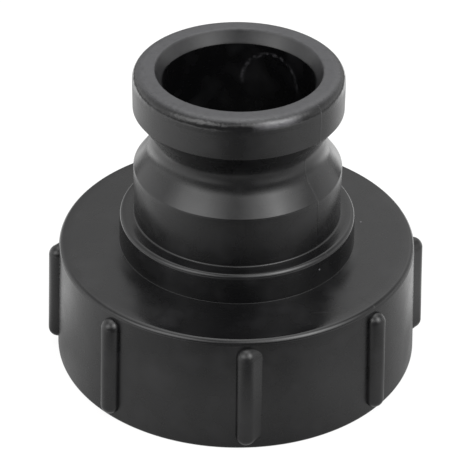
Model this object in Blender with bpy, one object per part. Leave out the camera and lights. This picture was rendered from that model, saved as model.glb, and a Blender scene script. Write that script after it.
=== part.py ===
"""Bulk tank outlet adapter with a flat gasket, in metres.

A wide skirt with an internal buttress thread screws onto the tank's outlet, and a grooved spigot above it
takes a cam-lever coupler. The adapter is one moulding in black polypropylene. The origin is the centre of
the skirt's mouth, +Z runs up through the spigot, and -Y is the front, where the first grip rib stands.
"""

import math

import bmesh
import bpy
from mathutils import Vector

MM = 0.001

# Grooved spigot, in the standard 2 inch size
SPIGOT_DIAMETER = 63.0 * MM
RIM_HEIGHT = 12.2 * MM
RIM_EDGE_RADIUS = 2.0 * MM
GROOVE_WIDTH = 19.8 * MM
GROOVE_DEPTH = 5.2 * MM
GROOVE_UPPER_RADIUS = 0.4 * MM
GROOVE_LOWER_RADIUS = 2.4 * MM
NECK_WALL = 3.6 * MM
LEAD_IN_DEPTH = 4.0 * MM
LEAD_IN_WIDTH = 2.3 * MM
LEAD_IN_EDGE_RADIUS = 0.6 * MM
BORE_DRAFT = math.radians(0.7)

# Barrel and collar under the groove
BARREL_DIAMETER = 63.2 * MM
BARREL_HEIGHT = 17.0 * MM
BARREL_FOOT_RADIUS = 0.8 * MM
COLLAR_DIAMETER = 72.6 * MM
COLLAR_HEIGHT = 9.9 * MM
COLLAR_DRAFT = math.radians(1.0)
COLLAR_EDGE_RADIUS = 1.5 * MM
COLLAR_FOOT_RADIUS = 0.4 * MM
COLLAR_WALL = 6.6 * MM
CHAMBER_ROOF = 5.4 * MM
CHAMBER_EDGE_RADIUS = 1.2 * MM

# Skirt and the socket inside it
SKIRT_HEIGHT = 38.5 * MM
SKIRT_WALL = 4.4 * MM
SKIRT_DRAFT = math.radians(2.5)
SKIRT_EDGE_RADIUS = 1.0 * MM
MOUTH_EDGE_RADIUS = 0.8 * MM
MOUTH_CHAMFER = 1.2 * MM
SOCKET_ROOF = 5.4 * MM
SOCKET_DRAFT = math.radians(0.5)
SOCKET_CORNER_RADIUS = 0.5 * MM

# Buttress thread of the tank outlet
THREAD_DIAMETER = 101.0 * MM
THREAD_PITCH = 8.0 * MM
THREAD_DEPTH = 3.1 * MM
THREAD_CREST_WIDTH = 1.4 * MM
THREAD_LOAD_ANGLE = math.radians(10)
THREAD_LEAD_ANGLE = math.radians(45)
THREAD_RUN_OUT = math.radians(30)
THREAD_MOUTH_GAP = 1.5 * MM
THREAD_GASKET_GAP = 0.7 * MM

# Grip ribs on the skirt
RIB_COUNT = 8
RIB_RADIUS = 3.1 * MM
RIB_DRAFT = math.radians(3)
RIB_TOP_GAP = 2.5 * MM
RIB_MOUTH_GAP = 2.2 * MM
MOULD_PULL = math.radians(-45)

# Flat gasket against the socket's roof
GASKET_THICKNESS = 4.0 * MM
GASKET_WIDTH = 11.2 * MM
GASKET_EDGE_RADIUS = 0.4 * MM
GASKET_SIDE_GAP = 0.4 * MM
GASKET_SEAT_GAP = 0.3 * MM

# Facets, and how deep a rib's or the thread's open end starts inside the wall
FACETS_ROUND = 72
RIB_END_STEPS = 4
ARC_TOLERANCE = 0.07 * MM
END_SINK = 0.3 * MM
SMOOTH_BELOW = math.radians(32)
LONGEST_FILLET_SHARE = 0.49

# Heights of the shoulders, from the mouth up
roof = SKIRT_HEIGHT - SOCKET_ROOF
collar_top = SKIRT_HEIGHT + COLLAR_HEIGHT
groove_bottom = collar_top + BARREL_HEIGHT
groove_top = groove_bottom + GROOVE_WIDTH
rim_top = groove_top + RIM_HEIGHT

# Depths that the feet of the ribs and of the thread are buried in the skirt's wall
rib_root = SKIRT_WALL / 2
thread_root = SKIRT_WALL / 2

# Radii that the walls follow
spigot_radius = SPIGOT_DIAMETER / 2
bore_radius = spigot_radius - GROOVE_DEPTH - NECK_WALL
chamber_radius = COLLAR_DIAMETER / 2 - COLLAR_WALL
socket_radius = THREAD_DIAMETER / 2


def skirt_radius(height):
    """Outer radius of the tapering skirt."""
    return socket_radius + SKIRT_WALL + (SKIRT_HEIGHT - height) * math.tan(SKIRT_DRAFT)


def socket_wall(height):
    """Radius of the plain socket wall between the thread's turns."""
    return socket_radius + (roof - height) * math.tan(SOCKET_DRAFT)


def bore_wall(height):
    """Radius of the spigot's bore, which widens slightly downwards."""
    return bore_radius + (rim_top - LEAD_IN_DEPTH - height) * math.tan(BORE_DRAFT)


def arc_steps(radius, turn):
    """Number of chords that keep an arc within the tolerance."""
    widest = 2 * math.acos(max(1 - ARC_TOLERANCE / radius, 0))
    return max(1, round(turn / widest))


def fillet_points(before, corner, after, radius):
    """Points of the arc that rounds a corner, limited to a share of the shorter of its two sides."""
    to_before = before - corner
    to_after = after - corner
    half = to_before.angle(to_after) / 2
    longest = LONGEST_FILLET_SHARE * min(to_before.length, to_after.length)
    reach = min(radius / math.tan(half), longest)
    radius = reach * math.tan(half)
    bisector = (to_before.normalized() + to_after.normalized()).normalized()
    centre = corner + bisector * radius / math.sin(half)
    start = corner + to_before.normalized() * reach - centre
    end = corner + to_after.normalized() * reach - centre
    steps = arc_steps(radius, math.pi - 2 * half)
    return [centre + radius * start.slerp(end, step / steps) for step in range(steps + 1)]


def rounded(corners):
    """A closed outline of (radius, height, fillet) corners, as points with the fillets put in."""
    points = []
    for index, (x, z, fillet) in enumerate(corners):
        corner = Vector((x, z))
        if fillet:
            before = Vector(corners[index - 1][:2])
            after = Vector(corners[(index + 1) % len(corners)][:2])
            points += fillet_points(before, corner, after, fillet)
        else:
            points.append(corner)
    return points


def groove_corners():
    """The groove's hollow arc, from its lower edge to its upper one."""
    radius = (GROOVE_WIDTH**2 / 4 + GROOVE_DEPTH**2) / (2 * GROOVE_DEPTH)
    half_turn = math.asin(GROOVE_WIDTH / 2 / radius)
    steps = arc_steps(radius, 2 * half_turn)
    centre = spigot_radius - GROOVE_DEPTH + radius
    middle = (groove_bottom + groove_top) / 2
    corners = []
    for step in range(1, steps):
        angle = half_turn * (2 * step / steps - 1)
        corners.append((centre - radius * math.cos(angle), middle + radius * math.sin(angle), 0))
    return corners


def body_outline():
    """Half section of the moulding without its ribs and thread, anticlockwise from the mouth."""
    collar_foot = COLLAR_DIAMETER / 2
    collar_edge = collar_foot - COLLAR_HEIGHT * math.tan(COLLAR_DRAFT)
    chamber_top = collar_top - CHAMBER_ROOF
    bore_foot = chamber_top + chamber_radius - bore_radius
    barrel_radius = BARREL_DIAMETER / 2
    return rounded(
        [
            (socket_wall(0) + MOUTH_CHAMFER, 0, 0),
            (skirt_radius(0), 0, MOUTH_EDGE_RADIUS),
            (skirt_radius(SKIRT_HEIGHT), SKIRT_HEIGHT, SKIRT_EDGE_RADIUS),
            (collar_foot, SKIRT_HEIGHT, COLLAR_FOOT_RADIUS),
            (collar_edge, collar_top, COLLAR_EDGE_RADIUS),
            (barrel_radius, collar_top, BARREL_FOOT_RADIUS),
            (barrel_radius, groove_bottom, GROOVE_LOWER_RADIUS),
            *groove_corners(),
            (spigot_radius, groove_top, GROOVE_UPPER_RADIUS),
            (spigot_radius, rim_top, RIM_EDGE_RADIUS),
            (bore_radius + LEAD_IN_WIDTH, rim_top, LEAD_IN_EDGE_RADIUS),
            (bore_radius, rim_top - LEAD_IN_DEPTH, LEAD_IN_EDGE_RADIUS),
            (bore_wall(bore_foot), bore_foot, CHAMBER_EDGE_RADIUS),
            (chamber_radius, chamber_top, CHAMBER_EDGE_RADIUS),
            (chamber_radius, roof, CHAMBER_EDGE_RADIUS),
            (socket_radius, roof, SOCKET_CORNER_RADIUS),
            (socket_wall(MOUTH_CHAMFER), MOUTH_CHAMFER, 0),
        ]
    )


def gasket_outline():
    """Half section of the flat gasket, anticlockwise."""
    top = roof - GASKET_SEAT_GAP
    bottom = top - GASKET_THICKNESS
    outside = socket_radius - GASKET_SIDE_GAP
    inside = outside - GASKET_WIDTH
    corners = [(inside, bottom), (outside, bottom), (outside, top), (inside, top)]
    return rounded([(x, z, GASKET_EDGE_RADIUS) for x, z in corners])


def new_object(name, bm):
    """An object of this name that holds a bmesh's shape."""
    mesh = bpy.data.meshes.new(name)
    bm.to_mesh(mesh)
    bm.free()
    obj = bpy.data.objects.new(name, mesh)
    bpy.context.collection.objects.link(obj)
    return obj


def apply_modifiers(obj):
    """Makes an object's modified shape its mesh."""
    graph = bpy.context.evaluated_depsgraph_get()
    obj.data = bpy.data.meshes.new_from_object(obj.evaluated_get(graph))
    obj.modifiers.clear()


def revolved(name, outline):
    """A full turn of a half section about +Z."""
    bm = bmesh.new()
    rim = [bm.verts.new((point.x, 0, point.y)) for point in outline]
    for first, second in zip(rim, rim[1:] + rim[:1]):
        bm.edges.new((first, second))
    obj = new_object(name, bm)
    screw = obj.modifiers.new("Turn", "SCREW")
    screw.axis = "Z"
    screw.angle = math.tau
    screw.steps = FACETS_ROUND
    screw.render_steps = FACETS_ROUND
    screw.use_normal_flip = True
    apply_modifiers(obj)
    return obj


def around(angle, radius, across, height):
    """The point at an angle from the front, moved across the radius towards growing angles."""
    return Vector(
        (
            radius * math.sin(angle) + across * math.cos(angle),
            -radius * math.cos(angle) + across * math.sin(angle),
            height,
        )
    )


def loft(bm, sections):
    """Closed skin through sections of equally many points, capped at both ends."""
    rings = [[bm.verts.new(point) for point in section] for section in sections]
    for low, high in zip(rings, rings[1:]):
        for side in range(len(low)):
            following = (side + 1) % len(low)
            bm.faces.new((low[side], low[following], high[following], high[side]))
    bm.faces.new(rings[0])
    bm.faces.new(rings[-1])


def flank_leans(angle):
    """Leans of a rib's two flanks from its middle plane, towards falling and towards growing angles.

    A rib between the line of the mould's pull and its parting line leans the flank that faces away from
    the pull, so that the mould half slides off it. The other flanks have only draft.
    """
    off_pull = (angle - MOULD_PULL + math.pi / 2) % math.pi - math.pi / 2
    lean = max(RIB_DRAFT, min(abs(off_pull), math.pi / 2 - abs(off_pull)))
    return (RIB_DRAFT, lean) if off_pull > 0 else (lean, RIB_DRAFT)


def rib_section(angle, height, radius, sink):
    """A level cut through a rib: a half round on the skirt's wall, whose flanks run on into the wall."""
    falling, growing = flank_leans(angle)
    first, last = falling - math.pi / 2, math.pi / 2 - growing
    steps = arc_steps(RIB_RADIUS, last - first)
    turns = [first + (last - first) * step / steps for step in range(steps + 1)]
    points = [(radius * math.sin(turn), radius * math.cos(turn) - sink) for turn in turns]
    (left, left_out), (right, right_out) = points[0], points[-1]
    points.insert(0, (left - (left_out + rib_root) * math.tan(falling), -rib_root))
    points.append((right + (right_out + rib_root) * math.tan(growing), -rib_root))
    return [around(angle, skirt_radius(height) + out, across, height) for across, out in points]


def grip_ribs():
    """All the ribs, half-round bars with a quarter of a ball at each end."""
    bm = bmesh.new()
    turns = [math.pi / 2 * step / RIB_END_STEPS for step in range(1, RIB_END_STEPS + 1)]
    domes = [(RIB_RADIUS * (1 - math.cos(turn)), RIB_RADIUS * math.sin(turn), 0) for turn in turns]
    tip = RIB_RADIUS * math.sin(turns[0])
    domes.insert(0, (0, tip, tip + END_SINK))
    bottom = RIB_MOUTH_GAP
    top = SKIRT_HEIGHT - RIB_TOP_GAP
    stations = [(bottom + along, radius, sink) for along, radius, sink in domes]
    stations += [(top - along, radius, sink) for along, radius, sink in reversed(domes)]
    for index in range(RIB_COUNT):
        angle = math.tau * index / RIB_COUNT
        loft(bm, [rib_section(angle, *station) for station in stations])
    bmesh.ops.recalc_face_normals(bm, faces=bm.faces)
    return new_object("grip_ribs", bm)


def thread_section(angle, flank_height, share):
    """Cut through the thread's ridge, where its load flank leaves the wall at this height.

    The load flank faces up, nearly square to the axis, and the lead flank slopes down to the mouth. The
    share is how much of the full depth the ridge has here.
    """
    wall = socket_wall(flank_height)
    crest = wall - share * THREAD_DEPTH
    sunk = wall + thread_root
    load = math.tan(THREAD_LOAD_ANGLE)
    crest_top = flank_height - (wall - crest) * load
    crest_bottom = crest_top - THREAD_CREST_WIDTH
    foot = max(wall, crest) + END_SINK
    foot_height = crest_bottom - (foot - crest) * math.tan(THREAD_LEAD_ANGLE)
    points = [
        (sunk, flank_height + (sunk - wall) * load),
        (crest, crest_top),
        (crest, crest_bottom),
        (foot, foot_height),
        (sunk, foot_height),
    ]
    return [around(angle, radius, 0, height) for radius, height in points]


def run_out_share(angle, whole):
    """Share of the full depth along the thread: it rises out of the wall and sinks back into it."""
    along = min(angle, whole - angle) / THREAD_RUN_OUT
    eased = math.sin(math.pi / 2 * min(along, 1))
    return eased - (1 - eased) * END_SINK / THREAD_DEPTH


def thread_ridge():
    """The right-hand buttress ridge, from the mouth up to just below the gasket."""
    foot_width = (
        THREAD_DEPTH * (math.tan(THREAD_LOAD_ANGLE) + math.tan(THREAD_LEAD_ANGLE)) + THREAD_CREST_WIDTH
    )
    lowest = MOUTH_CHAMFER + THREAD_MOUTH_GAP + foot_width
    highest = roof - GASKET_SEAT_GAP - GASKET_THICKNESS - THREAD_GASKET_GAP
    facet = math.tau / FACETS_ROUND
    steps = math.floor((highest - lowest) / THREAD_PITCH * FACETS_ROUND)
    whole = steps * facet
    bm = bmesh.new()
    sections = []
    for step in range(steps + 1):
        angle = step * facet
        height = lowest + THREAD_PITCH * angle / math.tau
        sections.append(thread_section(angle, height, run_out_share(angle, whole)))
    loft(bm, sections)
    bmesh.ops.recalc_face_normals(bm, faces=bm.faces)
    return new_object("thread_ridge", bm)


def join(body, other):
    """Unites another shape with the body and removes it."""
    union = body.modifiers.new(other.name, "BOOLEAN")
    union.operation = "UNION"
    union.solver = "EXACT"
    union.object = other
    apply_modifiers(body)
    bpy.data.objects.remove(other)


def plastic(name, colour, roughness):
    """A Principled material without metal."""
    material = bpy.data.materials.new(name)
    material.use_nodes = True
    material.diffuse_color = (*colour, 1)
    shader = material.node_tree.nodes["Principled BSDF"]
    shader.inputs["Base Color"].default_value = (*colour, 1)
    shader.inputs["Roughness"].default_value = roughness
    shader.inputs["Metallic"].default_value = 0
    return material


def finish(obj, material):
    """Smooth shading between sharp edges, and the part's material."""
    obj.data.shade_smooth()
    obj.data.set_sharp_from_angle(angle=SMOOTH_BELOW)
    obj.data.materials.clear()
    obj.data.materials.append(material)


def adapter_body():
    """The moulding: the turned shape, its grip ribs and its internal thread."""
    body = revolved("adapter_body", body_outline())
    join(body, grip_ribs())
    join(body, thread_ridge())
    finish(body, plastic("black_polypropylene", (0.012, 0.012, 0.013), 0.35))


def flat_gasket():
    """The sealing ring, held up against the socket's roof by the thread's last turn."""
    gasket = revolved("flat_gasket", gasket_outline())
    finish(gasket, plastic("black_rubber", (0.02, 0.02, 0.02), 0.75))


def main():
    for obj in list(bpy.data.objects):
        bpy.data.objects.remove(obj)
    adapter_body()
    flat_gasket()


main()
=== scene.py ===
"""Looks of the bulk tank outlet adapter, laid out as an add-on over the packed frame.

The moulding, its thread and the gasket are surfaces worked out with numpy from the sizes below. An angle
runs about +Z from the front (-Y) towards +X, and a half section is a closed outline of (radius, height).
"""

import math

import bpy
import numpy as np
from bpy.props import FloatProperty, FloatVectorProperty, IntProperty, PointerProperty
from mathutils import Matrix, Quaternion, Vector


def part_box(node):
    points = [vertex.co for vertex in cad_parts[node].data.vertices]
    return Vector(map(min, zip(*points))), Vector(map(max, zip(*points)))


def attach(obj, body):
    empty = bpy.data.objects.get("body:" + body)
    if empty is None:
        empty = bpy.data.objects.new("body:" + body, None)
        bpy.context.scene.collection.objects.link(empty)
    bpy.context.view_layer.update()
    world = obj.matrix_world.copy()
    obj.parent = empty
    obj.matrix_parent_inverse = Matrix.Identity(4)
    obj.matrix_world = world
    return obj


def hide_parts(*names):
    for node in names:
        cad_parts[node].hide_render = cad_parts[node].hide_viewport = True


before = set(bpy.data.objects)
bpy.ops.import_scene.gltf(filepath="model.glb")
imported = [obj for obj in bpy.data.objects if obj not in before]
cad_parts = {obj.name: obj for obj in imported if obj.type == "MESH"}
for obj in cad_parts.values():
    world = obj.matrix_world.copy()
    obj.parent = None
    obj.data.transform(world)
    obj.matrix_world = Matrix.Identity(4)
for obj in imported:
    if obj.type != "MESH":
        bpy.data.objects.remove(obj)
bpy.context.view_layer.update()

bl_info = {
    "name": "Tank outlet adapter",
    "version": (1, 0, 0),
    "blender": (4, 5, 0),
    "location": "3D View > Sidebar > Adapter",
    "description": "Builds the visible surfaces, finishes and studio of a threaded tank outlet adapter",
    "category": "Object",
}

MM = 0.001
BODY = "root"
BODY_SLOT = "black_polypropylene"
GASKET_SLOT = "black_rubber"
SHARP_TURN = math.radians(40)
total_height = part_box("adapter_body")[1].z


def linear(text):
    """Linear colour of an sRGB hex value such as #17181a."""
    shares = [int(text[at : at + 2], 16) / 255 for at in (1, 3, 5)]
    return tuple(s / 12.92 if s <= 0.04045 else ((s + 0.055) / 1.055) ** 2.4 for s in shares)


def length(millimetres, name, description):
    """A length property in metres, with its default given in millimetres."""
    metres = millimetres * MM
    return FloatProperty(
        name=name, description=description, default=metres, min=0, subtype="DISTANCE", unit="LENGTH"
    )


def turn(degrees, name, description):
    """An angle property, with its default given in degrees."""
    angle = math.radians(degrees)
    return FloatProperty(
        name=name, description=description, default=angle, subtype="ANGLE", unit="ROTATION"
    )


def colour(text, name, description):
    """A colour property, with its default given as an sRGB hex value."""
    return FloatVectorProperty(
        name=name, description=description, default=linear(text), size=3, min=0, max=1, subtype="COLOR"
    )


def factor(value, name, description):
    """A plain share property from 0 to 1."""
    return FloatProperty(name=name, description=description, default=value, min=0, max=1, subtype="FACTOR")


class MouldingSizes(bpy.types.PropertyGroup):
    """Sizes of the turned form of the moulding, outside and inside."""

    spigot_diameter: length(63.0, "Spigot diameter", "Across the rim that the coupler closes over")
    rim_edge: length(3.2, "Rim edge radius", "Rounding round the spigot's face")
    groove_width: length(20.4, "Groove width", "Height of the cam groove")
    groove_depth: length(5.2, "Groove depth", "How far the cam groove goes in")
    groove_upper: length(0.4, "Upper groove edge radius", "Rounding of the groove's edge under the rim")
    groove_lower: length(0.9, "Lower groove edge radius", "Rounding of the groove's edge over the barrel")
    neck_wall: length(3.6, "Neck wall", "Wall between the groove's floor and the bore")
    lead_in_depth: length(4.0, "Lead-in depth", "Height of the cone at the bore's end")
    lead_in_width: length(2.3, "Lead-in width", "How far the cone widens the bore")
    lead_in_edge: length(0.6, "Lead-in edge radius", "Rounding of the cone's two edges")
    bore_draft: turn(0.7, "Bore draft", "Taper of the bore for its core")
    barrel_diameter: length(63.2, "Barrel diameter", "Plain band under the groove")
    barrel_height: length(16.4, "Barrel height", "From the collar up to the groove")
    barrel_foot: length(0.5, "Barrel foot radius", "Fillet where the barrel meets the collar")
    collar_diameter: length(72.6, "Collar diameter", "Across the foot of the collar")
    collar_height: length(9.9, "Collar height", "From the skirt up to the barrel")
    collar_draft: turn(1.0, "Collar draft", "Taper of the collar")
    collar_edge: length(1.5, "Collar edge radius", "Rounding of the collar's upper edge")
    collar_foot: length(0.1, "Collar foot radius", "Fillet where the collar meets the skirt")
    collar_wall: length(6.6, "Collar wall", "Wall of the chamber inside the collar")
    chamber_roof: length(5.4, "Chamber roof", "Thickness over the chamber")
    inner_edge: length(1.2, "Inner edge radius", "Rounding inside the chamber")
    skirt_height: length(38.5, "Skirt height", "From the mouth up to the skirt's top face")
    skirt_wall: length(4.4, "Skirt wall", "Wall between the socket and the outside at the top")
    skirt_draft: turn(2.5, "Skirt draft", "Taper of the skirt's outside")
    skirt_edge: length(1.7, "Skirt edge radius", "Rounding round the skirt's top face")
    mouth_edge: length(0.8, "Mouth edge radius", "Rounding round the rim that the adapter stands on")
    mouth_chamfer: length(1.2, "Mouth chamfer", "Lead into the socket")
    socket_diameter: length(101.0, "Socket diameter", "Across the thread's valleys")
    socket_roof: length(5.4, "Socket roof", "Thickness over the gasket")
    socket_draft: turn(0.5, "Socket draft", "Taper of the socket's wall")
    socket_corner: length(0.5, "Socket corner radius", "Fillet round the socket's roof")
    flash: length(0.045, "Parting line height", "How far the mould's parting line stands out")
    flash_width: length(0.5, "Parting line width", "Across the foot of the mould's parting line")
    columns: IntProperty(name="Columns", description="Grid columns round the moulding", default=360)


class RibSizes(bpy.types.PropertyGroup):
    """Sizes of the half-round grip ribs on the skirt."""

    number: IntProperty(name="Ribs", description="Number of grip ribs", default=8)
    radius: length(3.07, "Rib radius", "Radius of the half round and of its domed ends")
    draft: turn(3.0, "Rib draft", "Lean of a flank that follows the mould's pull")
    top_gap: length(2.5, "Gap above a rib", "From a rib's end to the skirt's top face")
    mouth_gap: length(2.2, "Gap below a rib", "From the mouth to a rib's end")
    root: length(1.2, "Rib root", "How far a rib's flanks run on inside the wall")
    pull: turn(-45.0, "Mould pull", "Angle of the line along which the mould opens")


class ThreadSizes(bpy.types.PropertyGroup):
    """Sizes of the buttress thread in the socket."""

    pitch: length(8.0, "Pitch", "Rise in one turn")
    depth: length(3.1, "Depth", "From the socket's wall to the crest")
    crest: length(1.4, "Crest width", "Flat on the crest")
    crest_edge: length(0.35, "Crest edge radius", "Rounding of the crest's two edges")
    load_angle: turn(10.0, "Load flank", "Lean of the flank that carries the pull")
    lead_angle: turn(45.0, "Lead flank", "Lean of the flank that faces the mouth")
    run_out: turn(30.0, "Run-out", "Angle over which the thread rises out of the wall")
    mouth_gap: length(1.5, "Mouth gap", "From the mouth's chamfer to the thread")
    gasket_gap: length(0.7, "Gasket gap", "From the thread to the gasket")


class GasketSizes(bpy.types.PropertyGroup):
    """Sizes of the flat gasket."""

    thickness: length(4.0, "Thickness", "Height of the ring")
    width: length(11.2, "Width", "From its inner to its outer edge")
    edge: length(0.4, "Edge radius", "Rounding of the ring's edges")
    side_gap: length(0.4, "Side gap", "Between the ring and the socket's wall")
    seat_gap: length(0.3, "Seat gap", "Between the ring and the socket's roof")


class WearAndPaintedLight(bpy.types.PropertyGroup):
    """Marks that use has left on the spigot, with painted highlight and painted reflection among them."""

    face_rub: length(1.0, "Face rub", "How far down its edges the rub on the spigot's face reaches")
    # Partly rub, partly painted reflection: the grey cone stands in for light it mirrors inside the bore.
    cone_rub_and_reflection: factor(0.25, "Cone rub", "How strongly the lead-in cone is rubbed")
    knocks: turn(-40.0, "Knocks", "Angle at which the rim's edge is knocked most")
    knocks_least: factor(0.8, "Least knocks", "How strongly the rim's edge is knocked away from that angle")
    # Chafed strip: partly chafe, partly a painted highlight where the lamp mirrors in the rim's edge.
    chafe_and_highlight: factor(0.42, "Chafe", "How pale the chafed strip on the rim's edge is")
    chafe_highlight_angle: turn(18.0, "Chafe angle", "Angle of the middle of the chafed strip")
    chafe_highlight_reach: turn(5.0, "Chafe reach", "From the strip's middle to where its ends start to fade")
    chafe_highlight_ends: turn(10.0, "Chafe ends", "Angle over which the strip's ends fade")
    chafe_highlight_depth: length(1.7, "Chafe depth", "From the spigot's face down to the middle of the strip")
    chafe_highlight_width: length(0.42, "Chafe width", "From the strip's middle to where its sides start to fade")
    chafe_highlight_sides: length(0.7, "Chafe sides", "Distance over which the strip's sides fade")
    # The ring in the bore is a painted reflection: a pale arc standing in for light the bore's wall
    # mirrors.
    reflection_centre: FloatVectorProperty(
        name="Mark centre",
        description="Middle of the round drag mark in the bore",
        default=[value * MM for value in (11.2, 19.6, 81.5)],
        subtype="TRANSLATION",
        unit="LENGTH",
    )
    reflection_radius: length(9.4, "Mark radius", "Radius of the drag mark's ring")
    reflection_width: length(0.9, "Mark width", "From the middle of the drag mark's line to its side")
    mark: factor(0.22, "Mark", "How pale the drag mark is")


class Finishes(bpy.types.PropertyGroup):
    """Colours and gloss of the plastic and the rubber."""

    plastic: colour("#070708", "Plastic", "Black of the polypropylene")
    # Also greys the lead-in cone, where that grey is partly painted reflection.
    scuff_and_painted_reflection: colour("#39393b", "Scuffs", "Grey where the spigot's face has been rubbed")
    # Also the pale of the painted highlight on the rim's edge and of the painted reflection in the bore.
    dust_and_painted_sheen: colour("#77767a", "Dust", "Pale specks, film and marks on the plastic")
    plastic_roughness: factor(0.27, "Plastic roughness", "Satin of the moulded skin")
    rubber: colour("#1d1d1c", "Rubber", "Black of the gasket")
    rubber_roughness: factor(0.72, "Rubber roughness", "Matt skin of the gasket")


class StudioSettings(bpy.types.PropertyGroup):
    """Camera, floor and light."""

    azimuth: turn(-3.5, "Camera azimuth", "Angle of the camera from the front rib")
    elevation: turn(33.8, "Camera elevation", "Height of the camera over the floor's plane")
    roll: turn(0.78, "Camera roll", "Tilt of the camera about its own axis")
    distance: length(620, "Camera distance", "From the camera to the point that it looks at")
    aim: length(38.57, "Aim height", "Height of the point that the camera looks at")
    shift: length(0.56, "Side shift", "How far the camera stands to the left of the adapter's axis")
    lens: FloatProperty(
        name="Lens",
        description="Focal length on a sensor 36 mm wide",
        default=153.3,
        subtype="DISTANCE_CAMERA",
        unit="CAMERA",
    )
    floor: colour("#f4f4f2", "Floor", "Pale floor under the adapter")
    floor_reach: length(6000, "Floor reach", "From the middle of the floor to its sides")


SETTINGS = {
    "adapter_moulding": MouldingSizes,
    "adapter_ribs": RibSizes,
    "adapter_thread": ThreadSizes,
    "adapter_gasket": GasketSizes,
    "adapter_wear": WearAndPaintedLight,
    "adapter_finishes": Finishes,
    "adapter_studio": StudioSettings,
}


def unit(vectors):
    """Vectors of length one along the last axis."""
    return vectors / np.linalg.norm(vectors, axis=-1, keepdims=True)


def faded(distance, full, none):
    """1 up to the distance full, then falling evenly to 0 at the distance none."""
    return np.clip((none - distance) / (none - full), 0, 1)


def rounded(corners, fillets, arc_steps, span_steps):
    """Closed outlines of (..., corner, 2) points with each corner rounded by its fillet.

    With half the inner angle between each side and the bisector, the arc starts fillet / tan(half) along
    each side and its centre is fillet / sin(half) along the bisector. The arc's points are the centre plus
    the radius times (sin((1 - s) t) a + sin(s t) b) / sin(t), for s from 0 to 1, with a and b its first and
    last direction and t its turn. An arc starts at most 0.48 of the shorter side from its corner, so two
    arcs never meet. The straight span to the next arc is divided with points eased towards both ends.
    Returns the points, the number of the corner that each belongs to and 1 where it lies on an arc.
    """
    before = np.roll(corners, 1, axis=-2) - corners
    after = np.roll(corners, -1, axis=-2) - corners
    furthest = 0.48 * np.minimum(np.linalg.norm(before, axis=-1), np.linalg.norm(after, axis=-1))
    back, ahead = unit(before), unit(after)
    half = np.arccos(np.clip((back * ahead).sum(-1), -1, 1)) / 2
    reach = np.minimum(np.asarray(fillets) / np.tan(half), furthest)[..., None]
    radius = reach[..., 0] * np.tan(half)
    centre = corners + unit(back + ahead) * (radius / np.sin(half))[..., None]
    starts, ends = corners + back * reach, corners + ahead * reach
    points, numbers, on_arc = [], [], []
    for index, steps in enumerate(arc_steps):
        start, end = starts[..., index, :], ends[..., index, :]
        if steps:
            share = np.linspace(0, 1, steps + 1)[:, None]
            whole = (np.pi - 2 * half[..., index])[..., None, None]
            first = (start - centre[..., index, :])[..., None, :]
            last = (end - centre[..., index, :])[..., None, :]
            swept = (np.sin((1 - share) * whole) * first + np.sin(share * whole) * last) / np.sin(whole)
            arc = centre[..., index, None, :] + swept
        else:
            arc = corners[..., index, None, :]
        following = starts[..., (index + 1) % len(arc_steps), None, :]
        eased = (1 - np.cos(np.pi * np.arange(1, span_steps[index]) / span_steps[index])) / 2
        span = arc[..., -1:, :] + eased[:, None] * (following - arc[..., -1:, :])
        points += [arc, span]
        numbers += [index] * (steps + span_steps[index])
        on_arc += [bool(steps)] * (steps + 1) + [False] * (span_steps[index] - 1)
    return np.concatenate(points, axis=-2), np.array(numbers), np.array(on_arc, float)


def turned(angles, radii, heights):
    """Points at angles about +Z from the front: x = r sin a, y = -r cos a, z."""
    return np.stack(np.broadcast_arrays(radii * np.sin(angles), -radii * np.cos(angles), heights), axis=-1)


def grid_object(name, points, closed_columns=True, values=None):
    """An object over one or more grids of (rows, columns, 3) points, whose rows close on themselves.

    A grid closes round its columns too, or else both open ends get a flat cap. Values are stored for each
    point under their attribute names.
    """
    points = points.reshape(-1, *points.shape[-3:])
    grids, rows, columns = points.shape[:3]
    index = np.arange(grids * rows * columns).reshape(grids, rows, columns)
    ring = np.concatenate([index, index[:, :1]], axis=1)
    if closed_columns:
        ring = np.concatenate([ring, ring[:, :, :1]], axis=2)
    corners = [ring[:, :-1, :-1], ring[:, :-1, 1:], ring[:, 1:, 1:], ring[:, 1:, :-1]]
    quads = np.stack(corners, axis=-1).reshape(-1)
    caps = [] if closed_columns else [*index[:, ::-1, 0], *index[:, :, -1]]
    loops = np.concatenate([quads, *caps])
    starts = np.concatenate([np.arange(0, len(quads), 4), len(quads) + rows * np.arange(len(caps))])
    mesh = bpy.data.meshes.new(name)
    mesh.vertices.add(points.size // 3)
    mesh.vertices.foreach_set("co", points.reshape(-1))
    mesh.loops.add(len(loops))
    mesh.loops.foreach_set("vertex_index", loops.astype(np.int32))
    mesh.polygons.add(len(starts))
    mesh.polygons.foreach_set("loop_start", starts.astype(np.int32))
    mesh.update(calc_edges=True)
    mesh.validate()
    mesh.shade_smooth()
    mesh.set_sharp_from_angle(angle=SHARP_TURN)
    for attribute, numbers in (values or {}).items():
        mesh.attributes.new(attribute, "FLOAT", "POINT").data.foreach_set(
            "value", numbers.astype(np.float32).reshape(-1)
        )
    obj = bpy.data.objects.new(name, mesh)
    bpy.context.scene.collection.objects.link(obj)
    return obj


def socket_wall(sizes, height):
    """Radius of the socket's wall: half the socket's diameter at its roof, widening with the draft."""
    roof = sizes.skirt_height - sizes.socket_roof
    return sizes.socket_diameter / 2 + (roof - height) * math.tan(sizes.socket_draft)


def skirt_wall(sizes, height):
    """Radius of the skirt's outside, which tapers upwards."""
    top = sizes.socket_diameter / 2 + sizes.skirt_wall
    return top + (sizes.skirt_height - height) * math.tan(sizes.skirt_draft)


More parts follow.
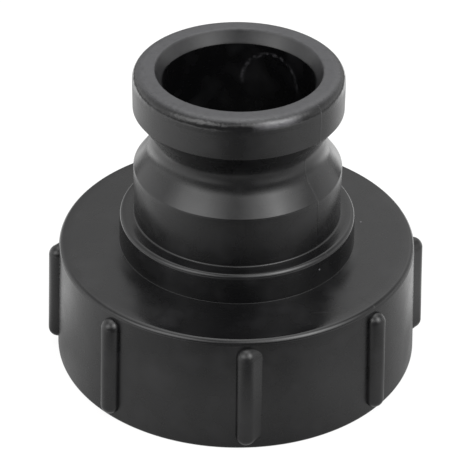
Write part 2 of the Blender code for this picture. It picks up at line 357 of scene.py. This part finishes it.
def moulding_outline(sizes):
    """Half section of the moulding, anticlockwise from the mouth, as rounded() gives it.

    Each corner holds radius, height, fillet, steps round the arc and steps to the next corner. The groove
    is one corner: the tangents of its arc meet at its middle, and the arc is the fillet between them.
    Returns the points, the name of the corner that each belongs to and 1 where it lies on an arc.
    """
    spigot, barrel, collar = sizes.spigot_diameter / 2, sizes.barrel_diameter / 2, sizes.collar_diameter / 2
    bore, chamber = spigot - sizes.groove_depth - sizes.neck_wall, collar - sizes.collar_wall
    skirt_top = sizes.skirt_height
    collar_top = skirt_top + sizes.collar_height
    groove_bottom = collar_top + sizes.barrel_height
    groove_top = groove_bottom + sizes.groove_width
    roof = skirt_top - sizes.socket_roof
    chamber_top = collar_top - sizes.chamber_roof
    bore_foot = chamber_top + chamber - bore
    lead_in = total_height - sizes.lead_in_depth
    half_width = sizes.groove_width / 2
    arc_radius = (half_width**2 + sizes.groove_depth**2) / (2 * sizes.groove_depth)
    tangents_meet = spigot - half_width / math.tan(math.asin(half_width / arc_radius))
    collar_shrinks = sizes.collar_height * math.tan(sizes.collar_draft)
    bore_grows = (lead_in - bore_foot) * math.tan(sizes.bore_draft)
    chamfer, lead_in_edge, inner_edge = sizes.mouth_chamfer, sizes.lead_in_edge, sizes.inner_edge
    corners = {
        "mouth": (socket_wall(sizes, 0) + chamfer, 0, 0, 0, 2),
        "mouth edge": (skirt_wall(sizes, 0), 0, sizes.mouth_edge, 6, 24),
        "skirt edge": (skirt_wall(sizes, skirt_top), skirt_top, sizes.skirt_edge, 8, 4),
        "collar foot": (collar, skirt_top, sizes.collar_foot, 5, 4),
        "collar edge": (collar - collar_shrinks, collar_top, sizes.collar_edge, 8, 2),
        "barrel foot": (barrel, collar_top, sizes.barrel_foot, 6, 5),
        "lower groove edge": (barrel, groove_bottom, sizes.groove_lower, 12, 1),
        "groove": (tangents_meet, (groove_bottom + groove_top) / 2, arc_radius, 26, 1),
        "upper groove edge": (spigot, groove_top, sizes.groove_upper, 6, 4),
        "rim edge": (spigot, total_height, sizes.rim_edge, 12, 3),
        "lead-in edge": (bore + sizes.lead_in_width, total_height, lead_in_edge, 6, 4),
        "lead-in foot": (bore, lead_in, lead_in_edge, 6, 8),
        "bore foot": (bore + bore_grows, bore_foot, inner_edge, 4, 2),
        "chamber top": (chamber, chamber_top, inner_edge, 4, 3),
        "chamber mouth": (chamber, roof, inner_edge, 6, 3),
        "socket corner": (socket_wall(sizes, roof), roof, sizes.socket_corner, 4, 6),
        "chamfer top": (socket_wall(sizes, chamfer), chamfer, 0, 0, 1),
    }
    lines = np.array(list(corners.values()))
    points, number, on_arc = rounded(lines[:, :2], lines[:, 2], *lines[:, 3:].astype(int).T)
    return points, np.array(list(corners))[number], on_arc


def moulding_columns(sizes, pull):
    """Angles of the moulding's grid columns, and the parting line's share of its height at each.

    The columns are an even turn, and both sides and the middle of the two parting lines, which are square
    to the mould's pull. Half a line's angle is its width over the spigot's diameter.
    """
    even = np.linspace(0, math.tau, sizes.columns, endpoint=False)
    half_line = sizes.flash_width / sizes.spigot_diameter
    lines = pull + math.pi / 2 * np.array([[1], [3]]) + half_line * np.array([-1, 0, 1])
    angles = np.sort(np.concatenate([even, lines.reshape(-1) % math.tau]))
    return angles, faded(np.abs((angles - pull) % math.pi - math.pi / 2), 0, half_line)


def moulding_surface(sizes, pull):
    """Grid of points over the moulding without ribs and thread: its half section carried round the axis.

    From the collar up to the rim, the radius of the outside grows by the parting line.
    """
    outline, corner, _ = moulding_outline(sizes)
    angles, line = moulding_columns(sizes, pull)
    outside = ("collar edge", "barrel foot", "lower groove edge", "groove", "upper groove edge", "rim edge")
    grown = np.isin(corner, outside)[:, None] * line * sizes.flash
    return turned(angles[None, :], outline[:, :1] + grown, outline[:, 1:])


def moulding_wear_and_painted_light(sizes, marks, pull):
    """Wear and painted light at the moulding's grid points, as shares by attribute name.

    The rub fades downwards from the spigot's face, and the lead-in cone has a weaker one, which is partly
    painted reflection. Outer edges are polished. The rim's edge is knocked all round: towards one angle,
    the knocks grow by 0.6 times the cosine of the turn from it. A strip along it is chafed and painted pale
    as a highlight.
    """
    outline, corner, on_arc = moulding_outline(sizes)
    angles, _ = moulding_columns(sizes, pull)
    below_face = total_height - outline[:, 1]
    face = faded(below_face, 0, marks.face_rub)
    polished = np.isin(corner, ("skirt edge", "collar edge", "lower groove edge", "rim edge")) * on_arc
    rim_edge = corner == "rim edge"
    knocks = marks.knocks_least + 0.6 * np.clip(np.cos(angles - marks.knocks), 0, 1)
    from_middle = np.abs(below_face - marks.chafe_highlight_depth)
    strip = faded(from_middle, marks.chafe_highlight_width, marks.chafe_highlight_width + marks.chafe_highlight_sides) * rim_edge
    from_middle = np.abs(angles - marks.chafe_highlight_angle)
    stretch = faded(from_middle, marks.chafe_highlight_reach, marks.chafe_highlight_reach + marks.chafe_highlight_ends)
    wear_and_painted_light = {
        # rubbed: real rub on the face; on the lead-in cone partly painted reflection.
        "rubbed": np.maximum(face, marks.cone_rub_and_reflection * (corner == "lead-in edge"))[:, None],
        "polished": polished[:, None],
        "knocked": np.maximum(face, rim_edge * on_arc)[:, None] * knocks,
        # chafed: partly chafe, partly painted highlight on the rim's edge.
        "chafed": marks.chafe_and_highlight * strip[:, None] * stretch,
    }
    return {name: np.broadcast_to(share, (len(corner), len(angles))) for name, share in wear_and_painted_light.items()}


def rib_leans(ribs):
    """Angles of the ribs, and leans of their flanks towards falling and towards growing angles.

    A rib off the mould's pull and off its parting line leans the flank that faces away from the pull by its
    angle to the nearer of the two, so that the mould slides off it. The other flanks have only draft.
    """
    angles = math.tau * np.arange(ribs.number) / ribs.number
    off_pull = (angles - ribs.pull + np.pi / 2) % np.pi - np.pi / 2
    lean = np.maximum(ribs.draft, np.minimum(np.abs(off_pull), np.pi / 2 - np.abs(off_pull)))
    return angles, np.where(off_pull > 0, ribs.draft, lean), np.where(off_pull > 0, lean, ribs.draft)


def rib_surface(sizes, ribs):
    """Grids of points over the ribs, half-round bars with a quarter of a ball at each end.

    At a distance d from a rib's end its radius is r = sqrt(R^2 - (R - d)^2), up to R. The first ring lies
    4 degrees off the ball's pole, and a flat cap closes it. The section runs along
    (across, out) = (r sin t, r cos t) between the two leans, and on both sides along the tangent into the
    wall, down to the root.
    """
    angles, falling, growing = (values[:, None, None] for values in rib_leans(ribs))
    dome = np.linspace(math.radians(4), math.pi / 2, 14)
    along, swell = ribs.radius * (1 - np.cos(dome)), ribs.radius * np.sin(dome)
    top = sizes.skirt_height - ribs.top_gap
    height = np.concatenate([ribs.mouth_gap + along, top - along[::-1]])
    radius = np.concatenate([swell, swell[::-1]])
    share = np.linspace(1, 0, 33)[:, None]
    turns = falling - math.pi / 2 + share * (math.pi - falling - growing)
    across, out = radius * np.sin(turns), radius * np.cos(turns)
    first = across[:, :1] + (out[:, :1] + ribs.root) * np.tan(growing)
    last = across[:, -1:] - (out[:, -1:] + ribs.root) * np.tan(falling)
    across = np.concatenate([first, across, last], axis=1)
    out = np.concatenate([0 * first - ribs.root, out, 0 * last - ribs.root], axis=1)
    reach = skirt_wall(sizes, height) + out
    x = reach * np.sin(angles) + across * np.cos(angles)
    y = across * np.sin(angles) - reach * np.cos(angles)
    return np.stack(np.broadcast_arrays(x, y, height), axis=-1)


def thread_surface(sizes, thread, gasket):
    """Grid of points over the thread's ridge: its section carried up a right-hand helix.

    At an angle a along it, the load flank leaves the wall at z = lowest + pitch a / tau and the crest
    stands depth sin(pi / 2 min(e / run_out, 1)) off the wall, for an angle e from the nearer end.
    """
    roof = sizes.skirt_height - sizes.socket_roof
    load, lead = math.tan(thread.load_angle), math.tan(thread.lead_angle)
    lowest = sizes.mouth_chamfer + thread.mouth_gap + thread.depth * (load + lead) + thread.crest
    highest = roof - gasket.seat_gap - gasket.thickness - thread.gasket_gap
    whole = (highest - lowest) / thread.pitch * math.tau
    step = math.radians(2.5)
    angles = np.linspace(0, whole, int(whole / step))
    share = np.sin(math.pi / 2 * np.clip(np.minimum(angles, whole - angles) / thread.run_out, 0, 1))
    sunk = 0.3 * MM
    flank = lowest + thread.pitch * angles / math.tau
    wall = socket_wall(sizes, flank)
    crest = wall - share * thread.depth + (1 - share) * sunk
    buried = wall + sizes.skirt_wall / 2
    foot = wall + 2 * sunk
    crest_top = flank - (wall - crest) * load
    crest_bottom = crest_top - thread.crest
    foot_height = crest_bottom - (foot - crest) * lead
    corners = np.stack(
        [
            np.stack([buried, flank + (buried - wall) * load], -1),
            np.stack([crest, crest_top], -1),
            np.stack([crest, crest_bottom], -1),
            np.stack([foot, foot_height], -1),
            np.stack([buried, foot_height], -1),
        ],
        axis=-2,
    )
    edge = thread.crest_edge
    section = rounded(corners, (0, edge, edge, 0, 0), (0, 5, 5, 0, 0), (3, 2, 3, 1, 2))[0]
    section = np.swapaxes(section, 0, 1)
    return turned(angles[None, :], section[..., 0], section[..., 1])


def gasket_surface(sizes, gasket):
    """Grid of points over the gasket: its rounded rectangular section carried round the axis."""
    top = sizes.skirt_height - sizes.socket_roof - gasket.seat_gap
    bottom = top - gasket.thickness
    outside = sizes.socket_diameter / 2 - gasket.side_gap
    inside = outside - gasket.width
    corners = np.array([(inside, bottom), (outside, bottom), (outside, top), (inside, top)])
    outline = rounded(corners, [gasket.edge] * 4, [5] * 4, [6, 4, 6, 4])[0]
    angles = np.linspace(0, math.tau, 144, endpoint=False)
    return turned(angles[None, :], outline[:, :1], outline[:, 1:])


def node(tree, kind, links=(), **settings):
    """Adds a node, applies its settings, and links outputs to its inputs.

    A setting's name is an attribute of the node, or an input's name with _ for a space, or _ and its
    number. Links are (input, output socket) pairs.
    """
    made = tree.nodes.new(kind)
    for name, value in settings.items():
        if hasattr(made, name):
            setattr(made, name, value)
        elif name[0] == "_":
            made.inputs[int(name[1:])].default_value = value
        else:
            made.inputs[name.replace("_", " ")].default_value = value
    for name, socket in links:
        tree.links.new(socket, made.inputs[name])
    return made


def per_mm(size):
    """Scale of a pattern in metres whose features are this many millimetres."""
    return 1 / (size * MM)


def new_material(name):
    """An empty node material, with its tree and its Principled shader linked to the output."""
    material = bpy.data.materials.new(name)
    material.use_nodes = True
    tree = material.node_tree
    tree.nodes.clear()
    shader = node(tree, "ShaderNodeBsdfPrincipled")
    node(tree, "ShaderNodeOutputMaterial", [("Surface", shader.outputs[0])])
    return material, tree, shader


def painted_bore_reflection(tree, place, patches, marks):
    """Share of a painted reflection: the upper part of a thin pale ring in the bore, broken up over
    patches.

    The ring comes up from nothing at 2.5 mm below its middle to its full share at 1.5 mm above it.
    """
    from_centre = node(
        tree, "ShaderNodeVectorMath", [(0, place)], operation="DISTANCE", _1=marks.reflection_centre
    ).outputs["Value"]
    off_ring = node(tree, "ShaderNodeMath", [(0, from_centre)], operation="SUBTRACT", _1=marks.reflection_radius)
    off_line = node(tree, "ShaderNodeMath", [(0, off_ring.outputs[0])], operation="ABSOLUTE")
    line = node(
        tree,
        "ShaderNodeMapRange",
        [("Value", off_line.outputs[0])],
        interpolation_type="SMOOTHSTEP",
        _1=0.0,
        _2=marks.reflection_width,
        _3=1.0,
        _4=0.0,
    )
    height = node(tree, "ShaderNodeSeparateXYZ", [(0, place)]).outputs["Z"]
    middle = marks.reflection_centre[2]
    upper = node(
        tree,
        "ShaderNodeMapRange",
        [("Value", height)],
        _1=middle - 2.5 * MM,
        _2=middle + 1.5 * MM,
        _3=0.0,
        _4=marks.mark,
    )
    links = [(0, line.outputs[0]), (1, upper.outputs[0])]
    arc = node(tree, "ShaderNodeMath", links, operation="MULTIPLY")
    breaks = node(tree, "ShaderNodeMapRange", [("Value", patches)], _1=0.42, _2=0.62)
    links = [(0, arc.outputs[0]), (1, breaks.outputs[0])]
    return node(tree, "ShaderNodeMath", links, operation="MULTIPLY").outputs[0]


def dust_film_and_painted_light(tree, place, mottle, patches, uneven, marks):
    """Share of pale plastic: a thin patchy dusty film, and painted light.

    The chafed strip is partly painted highlight, and the ring in the bore is a painted reflection.
    """
    # Partly chafe, partly painted highlight on the rim's edge.
    chafed = node(tree, "ShaderNodeAttribute", attribute_name="chafed").outputs["Fac"]
    # Painted reflection in the bore.
    mark = painted_bore_reflection(tree, place, patches, marks)
    streaks = node(tree, "ShaderNodeMath", [(0, uneven), (1, chafed), (2, mark)], operation="MULTIPLY_ADD")
    film = node(tree, "ShaderNodeMapRange", [("Value", mottle)], _1=0.5, _2=0.8, _3=0.0, _4=0.03)
    links = [(0, streaks.outputs[0]), (1, film.outputs[0])]
    return node(tree, "ShaderNodeMath", links, operation="ADD").outputs[0]


def plastic_colour(tree, place, worn, pale, finishes):
    """Black plastic, grey by its worn share, with a dusty speck in every 22 mm, and pale by its share.

    The worn grey is partly painted reflection on the lead-in cone, and the pale share holds painted
    highlight and painted reflection as well as a dusty film.
    """
    cells = node(tree, "ShaderNodeTexVoronoi", [("Vector", place)], Scale=per_mm(22)).outputs["Distance"]
    specks = node(tree, "ShaderNodeMapRange", [("Value", cells)], _1=0.008, _2=0.016, _3=1.0, _4=0.0)
    dust_and_painted_sheen = (*finishes.dust_and_painted_sheen, 1)
    scuffed = node(
        tree,
        "ShaderNodeMix",
        [(0, worn)],
        data_type="RGBA",
        _6=(*finishes.plastic, 1),
        _7=(*finishes.scuff_and_painted_reflection, 1),
    )
    links = [(0, specks.outputs[0]), (6, scuffed.outputs[2])]
    dusty = node(tree, "ShaderNodeMix", links, data_type="RGBA", _7=dust_and_painted_sheen)
    links = [(0, pale), (6, dusty.outputs[2])]
    return node(tree, "ShaderNodeMix", links, data_type="RGBA", _7=dust_and_painted_sheen).outputs[2]


def plastic_roughness(tree, place, mottle, worn, finishes):
    """Satin that varies with the mottle, smoother on polished edges, rougher where worn or scratched.

    Real scratches are hairlines. These are drawn about half a millimetre wide, so that they show, and are
    17 mm long across the part. The noise is turned to keep its grid off the part's axes.
    """
    polished = node(tree, "ShaderNodeAttribute", attribute_name="polished").outputs["Fac"]
    satin = node(
        tree,
        "ShaderNodeMapRange",
        [("Value", mottle)],
        _1=0.3,
        _2=0.7,
        _3=finishes.plastic_roughness - 0.05,
        _4=finishes.plastic_roughness + 0.06,
    )
    stretched = node(
        tree,
        "ShaderNodeMapping",
        [("Vector", place)],
        Scale=[per_mm(size) for size in (16.67, 1.111, 0.4545)],
        Rotation=(0.3, 0.2, 0.5),
    )
    streaks = node(tree, "ShaderNodeTexNoise", [("Vector", stretched.outputs[0])], Scale=1.0, Detail=1.0)
    scratches = node(
        tree,
        "ShaderNodeMapRange",
        [("Value", streaks.outputs["Fac"])],
        _1=0.70,
        _2=0.80,
        _3=0.0,
        _4=1.0,
    )
    roughness = satin.outputs[0]
    for share, change in ((polished, -0.11), (worn, 0.2), (scratches.outputs[0], 0.1)):
        links = [(0, share), (2, roughness)]
        roughness = node(tree, "ShaderNodeMath", links, operation="MULTIPLY_ADD", _1=change).outputs[0]
    return roughness


def plastic_relief(tree, place):
    """Slow waves from shrinkage, the mould's blasted grain, and dents where the rim is knocked.

    The real grain is about a tenth of a millimetre. It is drawn 0.7 mm wide, so that it shows.
    """
    knocked = node(tree, "ShaderNodeAttribute", attribute_name="knocked").outputs["Fac"]
    links = [("Vector", place)]
    waves, grain, dents = (
        node(tree, "ShaderNodeTexNoise", links, Scale=per_mm(size), Detail=detail).outputs["Fac"]
        for size, detail in ((7, 1.0), (0.7, 2.0), (1.8, 3.0))
    )
    knocks = node(tree, "ShaderNodeMath", [(0, dents), (1, knocked)], operation="MULTIPLY").outputs[0]
    links = []
    for relief, depth in ((waves, 0.05), (grain, 0.012), (knocks, 0.12)):
        bump = node(tree, "ShaderNodeBump", [("Height", relief), *links], Strength=1.0, Distance=depth * MM)
        links = [("Normal", bump.outputs[0])]
    return bump.outputs[0]


def moulded_polypropylene(scene):
    """Black polypropylene, injection moulded in a lightly blasted steel mould.

    The satin skin mirrors the white room faintly head on and strongly at a glancing angle. Use has rubbed
    the spigot's face grey, polished the edges and knocked and chafed the rim. The chafed strip is partly
    painted highlight, the lead-in cone's grey is partly painted reflection, and a pale ring in the bore is
    a painted reflection.
    """
    material, tree, shader = new_material("moulded_polypropylene")
    place = node(tree, "ShaderNodeTexCoord").outputs["Object"]
    links = [("Vector", place)]
    mottle, patches = (
        node(tree, "ShaderNodeTexNoise", links, Scale=per_mm(size), Detail=detail).outputs["Fac"]
        for size, detail in ((9, 3.0), (1.6, 5.0))
    )
    uneven_range = node(tree, "ShaderNodeMapRange", [("Value", patches)], _1=0.3, _2=0.7, _3=0.75, _4=1.25)
    uneven = uneven_range.outputs[0]
    # Grey rub; on the lead-in cone partly painted reflection.
    rubbed = node(tree, "ShaderNodeAttribute", attribute_name="rubbed").outputs["Fac"]
    links = [(0, uneven), (1, rubbed)]
    worn = node(tree, "ShaderNodeMath", links, operation="MULTIPLY", use_clamp=True).outputs[0]
    pale = dust_film_and_painted_light(tree, place, mottle, patches, uneven, scene.adapter_wear)
    finishes = scene.adapter_finishes
    tree.links.new(plastic_colour(tree, place, worn, pale, finishes), shader.inputs["Base Color"])
    tree.links.new(plastic_roughness(tree, place, mottle, worn, finishes), shader.inputs["Roughness"])
    tree.links.new(plastic_relief(tree, place), shader.inputs["Normal"])
    shader.inputs["IOR"].default_value = 1.49
    return material


def moulded_rubber(scene):
    """EPDM rubber, cut from a moulded sheet: deep black and matt, with a fine leathery skin and a bloom."""
    finishes = scene.adapter_finishes
    material, tree, shader = new_material("moulded_rubber")
    place = node(tree, "ShaderNodeTexCoord").outputs["Object"]
    skin = node(tree, "ShaderNodeTexNoise", [("Vector", place)], Scale=per_mm(0.9), Detail=4.0)
    bloom = node(tree, "ShaderNodeTexNoise", [("Vector", place)], Scale=per_mm(14), Detail=3.0)
    tone = node(
        tree,
        "ShaderNodeMix",
        [(0, bloom.outputs["Fac"])],
        data_type="RGBA",
        _6=(*finishes.rubber, 1),
        _7=(*[value * 1.9 for value in finishes.rubber], 1),
    )
    bump = node(tree, "ShaderNodeBump", [("Height", skin.outputs["Fac"])], Strength=1.0, Distance=0.04 * MM)
    tree.links.new(tone.outputs[2], shader.inputs["Base Color"])
    tree.links.new(bump.outputs[0], shader.inputs["Normal"])
    shader.inputs["Roughness"].default_value = finishes.rubber_roughness
    shader.inputs["IOR"].default_value = 1.52
    return material


def material_named(name, make):
    """The material of this name, made once."""
    return bpy.data.materials.get(name) or make(bpy.context.scene)


def dress(obj, material, slot, *nodes):
    """Gives a piece its material and its body, and lets it stand for CAD nodes. The slot is not used."""
    obj.data.materials.append(material)
    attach(obj, BODY)
    if nodes:
        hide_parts(*nodes)


class ADAPTER_OT_moulding(bpy.types.Operator):
    """Builds the moulding's turned walls, with the mould's parting line"""

    bl_idname = "adapter.moulding"
    bl_label = "Moulding"

    def execute(self, context):
        scene = context.scene
        sizes, pull = scene.adapter_moulding, scene.adapter_ribs.pull
        wear_and_painted_light = moulding_wear_and_painted_light(sizes, scene.adapter_wear, pull)
        obj = grid_object("moulding", moulding_surface(sizes, pull), values=wear_and_painted_light)
        material = material_named("moulded_polypropylene", moulded_polypropylene)
        dress(obj, material, BODY_SLOT, "adapter_body")
        return {"FINISHED"}


class ADAPTER_OT_ribs(bpy.types.Operator):
    """Builds the grip ribs on the skirt"""

    bl_idname = "adapter.ribs"
    bl_label = "Grip ribs"

    def execute(self, context):
        scene = context.scene
        points = rib_surface(scene.adapter_moulding, scene.adapter_ribs)
        obj = grid_object("grip_ribs", points, closed_columns=False)
        material = material_named("moulded_polypropylene", moulded_polypropylene)
        dress(obj, material, BODY_SLOT, "adapter_body")
        return {"FINISHED"}


class ADAPTER_OT_thread(bpy.types.Operator):
    """Builds the buttress thread inside the socket"""

    bl_idname = "adapter.thread"
    bl_label = "Thread"

    def execute(self, context):
        scene = context.scene
        points = thread_surface(scene.adapter_moulding, scene.adapter_thread, scene.adapter_gasket)
        obj = grid_object("socket_thread", points, closed_columns=False)
        material = material_named("moulded_polypropylene", moulded_polypropylene)
        dress(obj, material, BODY_SLOT, "adapter_body")
        return {"FINISHED"}


class ADAPTER_OT_gasket(bpy.types.Operator):
    """Builds the flat gasket under the socket's roof"""

    bl_idname = "adapter.gasket"
    bl_label = "Gasket"

    def execute(self, context):
        scene = context.scene
        obj = grid_object("sealing_ring", gasket_surface(scene.adapter_moulding, scene.adapter_gasket))
        material = material_named("moulded_rubber", moulded_rubber)
        dress(obj, material, GASKET_SLOT, "flat_gasket")
        return {"FINISHED"}


def direction_to(azimuth, elevation):
    """Unit vector towards an azimuth from the front and an elevation above the floor."""
    return Vector(
        (
            math.sin(azimuth) * math.cos(elevation),
            -math.cos(azimuth) * math.cos(elevation),
            math.sin(elevation),
        )
    )


# Level of the room away from its lights, and its lamps and lit walls: azimuth and elevation in degrees,
# reach as a chord of the unit sphere, level.
ROOM_BASE = 0.24
ROOM_LIGHTS = {
    "right lamp": (46, 45, 0.72, 4.4),
    "upper corner of the right lamp": (52, 52, 0.35, 2.6),
    "tube of the right lamp": (44, 37, 0.2, 1.5),
    "left lamp": (-60, 32, 0.53, 2.9),
    "upper corner of the left lamp": (-50, 50, 0.35, 1.8),
    "inner side of the left lamp": (-30, 38, 0.45, 2.05),
    "glow between the lamps": (3, 46, 0.3, 0.9),
    "ceiling": (-165, 79, 0.77, 2.6),
    "back wall": (165, 47, 0.73, 1.0),
    "right corner of the back wall": (148, 34, 0.45, 0.4),
    "left corner of the back wall": (-148, 34, 0.45, 0.4),
    "right wall": (105, -5, 1.27, 1.2),
    "left wall": (-105, -5, 1.38, 1.4),
}

# The floor's painted pools of light and shade, as the plastic mirrors it: azimuth in degrees, distance and
# reach in millimetres, level. A negative level is painted shade, such as the adapter's painted shadow.
FLOOR_BASE = 0.35
FLOOR_PAINTED_LIGHT = {
    "shade of the adapter": (0, 0, 900, -0.32),
    "close in front": (1, 88, 40, 0.4),
    "close on the front right": (35, 85, 45, 0.4),
    "close on the front left": (-30, 85, 45, 0.3),
    "shade in front": (3, 120, 34, -0.1),
    "shade on the front right": (36, 120, 34, -0.08),
    "shade on the front left": (-32, 120, 34, -0.1),
    "in front": (5, 165, 60, 0.15),
    "under the right lamp": (45, 335, 280, 1.4),
    "under the left lamp": (-38, 350, 250, 1.15),
    "foot of the skirt, right": (90, 58, 26, -0.15),
    "foot of the skirt, left": (-90, 58, 26, -0.3),
    "beside the skirt, right": (106, 88, 36, 0.4),
    "beside the skirt, left": (-104, 92, 36, 0.35),
    "behind the skirt, right": (128, 70, 40, 0.45),
    "right": (112, 240, 400, 0.75),
    "left": (-83, 290, 350, 1.5),
    "far right": (95, 1200, 1100, 0.9),
    "far left": (-95, 1200, 1100, 0.9),
    "shade on the back right": (136, 145, 50, -0.18),
    "shade on the back left": (-130, 150, 50, -0.18),
    "back right": (134, 360, 240, 1.9),
    "back left": (-134, 360, 250, 2.1),
    "behind": (174, 170, 375, 0.32),
}

# Share of the floor that the camera sees as plain white, and how bright that white is.
FLOOR_PLAIN = 0.88
FLOOR_WHITE = 1.03


def soft_lights(tree, place, base, lights):
    """The base level plus every light's own, which fades out from its centre.

    A light adds its level times 1 - s^2 (3 - 2 s), with s the distance to its centre over its reach, at
    most 1.
    """
    total = None
    for centre, reach, level in lights:
        away = node(tree, "ShaderNodeVectorMath", [(0, place)], operation="DISTANCE", _1=centre)
        soft = node(
            tree,
            "ShaderNodeMapRange",
            [("Value", away.outputs["Value"])],
            interpolation_type="SMOOTHSTEP",
            _1=0.0,
            _2=reach,
            _3=level,
            _4=0.0,
        )
        others = [(1, total.outputs[0])] if total else []
        total = node(tree, "ShaderNodeMath", [(0, soft.outputs[0]), *others], operation="ADD", _1=base)
    return total.outputs[0]


def floor_material(floor_colour):
    """Matt white acrylic sheet, which the camera sees as plain white with a faint shadow.

    The plastic mirrors it as a glowing sheet with painted light and shade: bright at both sides and behind,
    dim towards the camera, with a painted shadow of the adapter.
    """
    material, tree, shader = new_material("white_acrylic_sheet")
    shader.inputs["Base Color"].default_value = (*floor_colour, 1)
    shader.inputs["Roughness"].default_value = 0.6
    rays = node(tree, "ShaderNodeLightPath")
    place = node(tree, "ShaderNodeTexCoord").outputs["Object"]
    lights = [
        (direction_to(math.radians(azimuth), 0) * distance * MM, reach * MM, level)
        for azimuth, distance, reach, level in FLOOR_PAINTED_LIGHT.values()
    ]
    # Painted light and shade on the floor, seen only by glossy rays.
    lit = soft_lights(tree, place, FLOOR_BASE, lights)
    mirrored = node(tree, "ShaderNodeEmission", [("Strength", lit)], Color=(1, 1, 1, 1))
    white = node(tree, "ShaderNodeEmission", Color=(1, 1, 1, 1), Strength=FLOOR_WHITE)
    camera_ray, glossy_ray = rays.outputs["Is Camera Ray"], rays.outputs["Is Glossy Ray"]
    seen = node(tree, "ShaderNodeMath", [(0, camera_ray)], operation="MULTIPLY", _1=FLOOR_PLAIN)
    links = [(0, seen.outputs[0]), (1, shader.outputs[0]), (2, white.outputs[0])]
    pale = node(tree, "ShaderNodeMixShader", links)
    links = [(0, glossy_ray), (1, pale.outputs[0]), (2, mirrored.outputs[0])]
    glossy = node(tree, "ShaderNodeMixShader", links)
    tree.links.new(glossy.outputs[0], tree.nodes["Material Output"].inputs["Surface"])
    return material


def studio_world():
    """Room with two large soft lamps in front, a ceiling and pale walls, which the camera sees as white."""
    world = bpy.data.worlds.new("studio")
    world.use_nodes = True
    tree = world.node_tree
    tree.nodes.clear()
    direction = node(tree, "ShaderNodeTexCoord").outputs["Generated"]
    lights = [
        (direction_to(math.radians(azimuth), math.radians(elevation)), reach, level)
        for azimuth, elevation, reach, level in ROOM_LIGHTS.values()
    ]
    lit = soft_lights(tree, direction, ROOM_BASE, lights)
    room = node(tree, "ShaderNodeBackground", [("Strength", lit)], Color=(1, 1, 1, 1))
    plain = node(tree, "ShaderNodeBackground", Color=(1, 1, 1, 1), Strength=1.0)
    camera_ray = node(tree, "ShaderNodeLightPath").outputs["Is Camera Ray"]
    links = [(0, camera_ray), (1, room.outputs[0]), (2, plain.outputs[0])]
    mixed = node(tree, "ShaderNodeMixShader", links)
    node(tree, "ShaderNodeOutputWorld", [("Surface", mixed.outputs[0])])
    return world


class ADAPTER_OT_studio(bpy.types.Operator):
    """Builds the floor, the lit room and the camera"""

    bl_idname = "adapter.studio"
    bl_label = "Studio"

    def execute(self, context):
        scene = context.scene
        studio = scene.adapter_studio
        reach = studio.floor_reach
        corners = [(-reach, -reach, 0), (reach, -reach, 0), (reach, reach, 0), (-reach, reach, 0)]
        mesh = bpy.data.meshes.new("floor")
        mesh.from_pydata(corners, [], [(0, 1, 2, 3)])
        mesh.materials.append(floor_material(studio.floor))
        floor = bpy.data.objects.new("floor", mesh)
        scene.collection.objects.link(floor)
        scene.world = studio_world()
        scene.camera = self.camera(studio)
        scene.collection.objects.link(scene.camera)
        scene.view_settings.view_transform = "Standard"
        return {"FINISHED"}

    def camera(self, studio):
        """Camera at the photograph's angle, aimed at a point on the adapter's axis."""
        data = bpy.data.cameras.new("camera")
        data.sensor_width = 36
        data.lens = studio.lens
        data.clip_start, data.clip_end = 0.05, 50
        obj = bpy.data.objects.new("camera", data)
        away = direction_to(studio.azimuth, studio.elevation)
        left = Vector((0, 0, -1)).cross(away).normalized()
        obj.location = Vector((0, 0, studio.aim)) + away * studio.distance + left * studio.shift
        obj.rotation_mode = "QUATERNION"
        obj.rotation_quaternion = away.to_track_quat("Z", "Y") @ Quaternion((0, 0, 1), studio.roll)
        return obj


class ADAPTER_PT_panel(bpy.types.Panel):
    """Sizes, finishes and build steps of the adapter"""

    bl_idname = "ADAPTER_PT_panel"
    bl_label = "Tank outlet adapter"
    bl_space_type = "VIEW_3D"
    bl_region_type = "UI"
    bl_category = "Adapter"

    def draw(self, context):
        layout = self.layout
        for name, group in SETTINGS.items():
            box = layout.box()
            box.label(text=group.__doc__)
            for size in group.__annotations__:
                box.prop(getattr(context.scene, name), size)
        for operator in OPERATORS:
            layout.operator(operator.bl_idname)


OPERATORS = (
    ADAPTER_OT_moulding,
    ADAPTER_OT_ribs,
    ADAPTER_OT_thread,
    ADAPTER_OT_gasket,
    ADAPTER_OT_studio,
)


def register():
    for cls in (*SETTINGS.values(), *OPERATORS, ADAPTER_PT_panel):
        bpy.utils.register_class(cls)
    for name, group in SETTINGS.items():
        setattr(bpy.types.Scene, name, PointerProperty(type=group))


def unregister():
    for name in SETTINGS:
        delattr(bpy.types.Scene, name)
    for cls in (ADAPTER_PT_panel, *reversed(OPERATORS), *reversed(SETTINGS.values())):
        bpy.utils.unregister_class(cls)


def main():
    register()
    bpy.ops.adapter.moulding()
    bpy.ops.adapter.ribs()
    bpy.ops.adapter.thread()
    bpy.ops.adapter.gasket()
    bpy.ops.adapter.studio()


if __name__ == "__main__":
    main()
